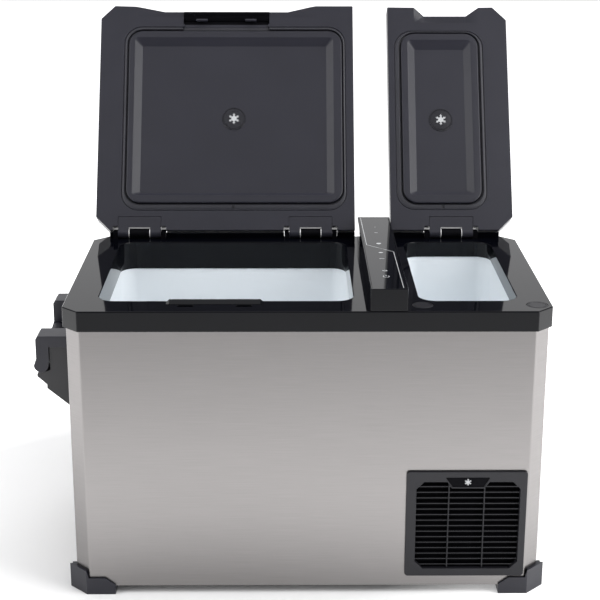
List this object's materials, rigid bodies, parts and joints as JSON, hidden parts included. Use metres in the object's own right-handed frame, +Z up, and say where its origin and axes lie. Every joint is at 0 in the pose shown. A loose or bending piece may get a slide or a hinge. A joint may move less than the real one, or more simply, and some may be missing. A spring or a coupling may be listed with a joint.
{
  "type": "compressor cooler fridge",
  "caption": "Portable compressor cooler fridge: steel cabinet with two lidded compartments, touch console, side handle and air grilles.",
  "frame": {"origin": "centre of the whole object's footprint box at floor level, with both lids open and the handle hanging", "axes": "+X toward the power end, away from the swinging handle; +Y toward the lid hinges; +Z up"},
  "size_m": [0.7524, 0.6144, 0.7938],
  "materials": {
    "gloss_black": "gloss",
    "satin_charcoal": "satin",
    "deep_black": "satin",
    "rubber_black": "matte",
    "liner_white": "satin",
    "washer_white": "satin",
    "brushed_steel": "brushed",
    "bare_steel": "satin",
    "copper": "satin",
    "aluminium": "satin",
    "foam": "matte",
    "machine_black": "satin",
    "machine_plastic": "satin",
    "board_green": "satin",
    "badge_grey": "gloss"
  },
  "bodies": {
    "cabinet": {"ac_inlet": "machine_plastic", "base_pan": "deep_black", "cabinet_shell": "brushed_steel", "compressor": "machine_black", "compressor_tray": "bare_steel", "condenser": "aluminium", "console_housing": "gloss_black", "control_board": "board_green", "control_panel": "gloss_black", "dc_socket": "machine_plastic", "evaporator_main": "copper", "evaporator_small": "copper", "exhaust_grille": "satin_charcoal", "fan_frame": "machine_plastic", "foam_insulation": "foam", "foot_back_left": "satin_charcoal", "foot_back_right": "satin_charcoal", "foot_front_left": "satin_charcoal", "foot_front_right": "satin_charcoal", "grille_plaque": "gloss_black", "handle_base": "deep_black", "handle_rod": "bare_steel", "hinge_left_base": "deep_black", "hinge_left_pin": "bare_steel", "hinge_left_washer_left": "washer_white", "hinge_left_washer_right": "washer_white", "hinge_middle_base": "deep_black", "hinge_middle_pin": "bare_steel", "hinge_middle_washer_left": "washer_white", "hinge_middle_washer_right": "washer_white", "hinge_right_base": "deep_black", "hinge_right_pin": "bare_steel", "hinge_right_washer_left": "washer_white", "hinge_right_washer_right": "washer_white", "intake_grille": "satin_charcoal", "latch_keeper": "gloss_black", "liner_main": "liner_white", "liner_small": "liner_white", "magnet_cap_left": "deep_black", "magnet_cap_right": "deep_black", "power_panel": "deep_black", "recessed_grip": "satin_charcoal", "top_rim": "gloss_black"},
    "left_lid": {"left_lid_badge": "badge_grey", "left_lid_foam": "foam", "left_lid_gasket": "rubber_black", "left_lid_panel": "satin_charcoal", "left_lid_shell": "satin_charcoal", "hinge_left_leaf": "deep_black", "hinge_middle_leaf": "deep_black"},
    "right_lid": {"right_lid_badge": "badge_grey", "right_lid_foam": "foam", "right_lid_gasket": "rubber_black", "right_lid_panel": "satin_charcoal", "right_lid_shell": "satin_charcoal", "hinge_right_leaf": "deep_black"},
    "latch": {"latch_pad": "deep_black"},
    "handle": {"handle_bail": "satin_charcoal", "handle_grip": "rubber_black"},
    "fan": {"fan_rotor": "machine_plastic"}
  },
  "joints": [
    {"name": "left_lid_hinge", "type": "hinge", "parent": "cabinet", "child": "left_lid", "pos_m": [-0.09535, 0.0902, 0.446], "axis": [1, 0, 0], "range_deg": [0, 119.6]},
    {"name": "right_lid_hinge", "type": "hinge", "parent": "cabinet", "child": "right_lid", "pos_m": [0.26515, 0.0902, 0.446], "axis": [1, 0, 0], "range_deg": [0, 119.6]},
    {"name": "latch_slide", "type": "slide", "parent": "left_lid", "child": "latch", "axis": [0, -0.4939, -0.8695], "range_m": [0, 0.004], "stiffness_N_per_m": 400, "springref_m": -0.0015},
    {"name": "handle_swing", "type": "hinge", "parent": "cabinet", "child": "handle", "pos_m": [-0.32555, -0.2154, 0.3625], "axis": [0, 1, 0], "range_deg": [0, 75]},
    {"name": "fan_spin", "type": "hinge", "parent": "cabinet", "child": "fan", "pos_m": [0.25665, -0.23539, 0.112], "axis": [0, 1, 0], "continuous": true}
  ]
}
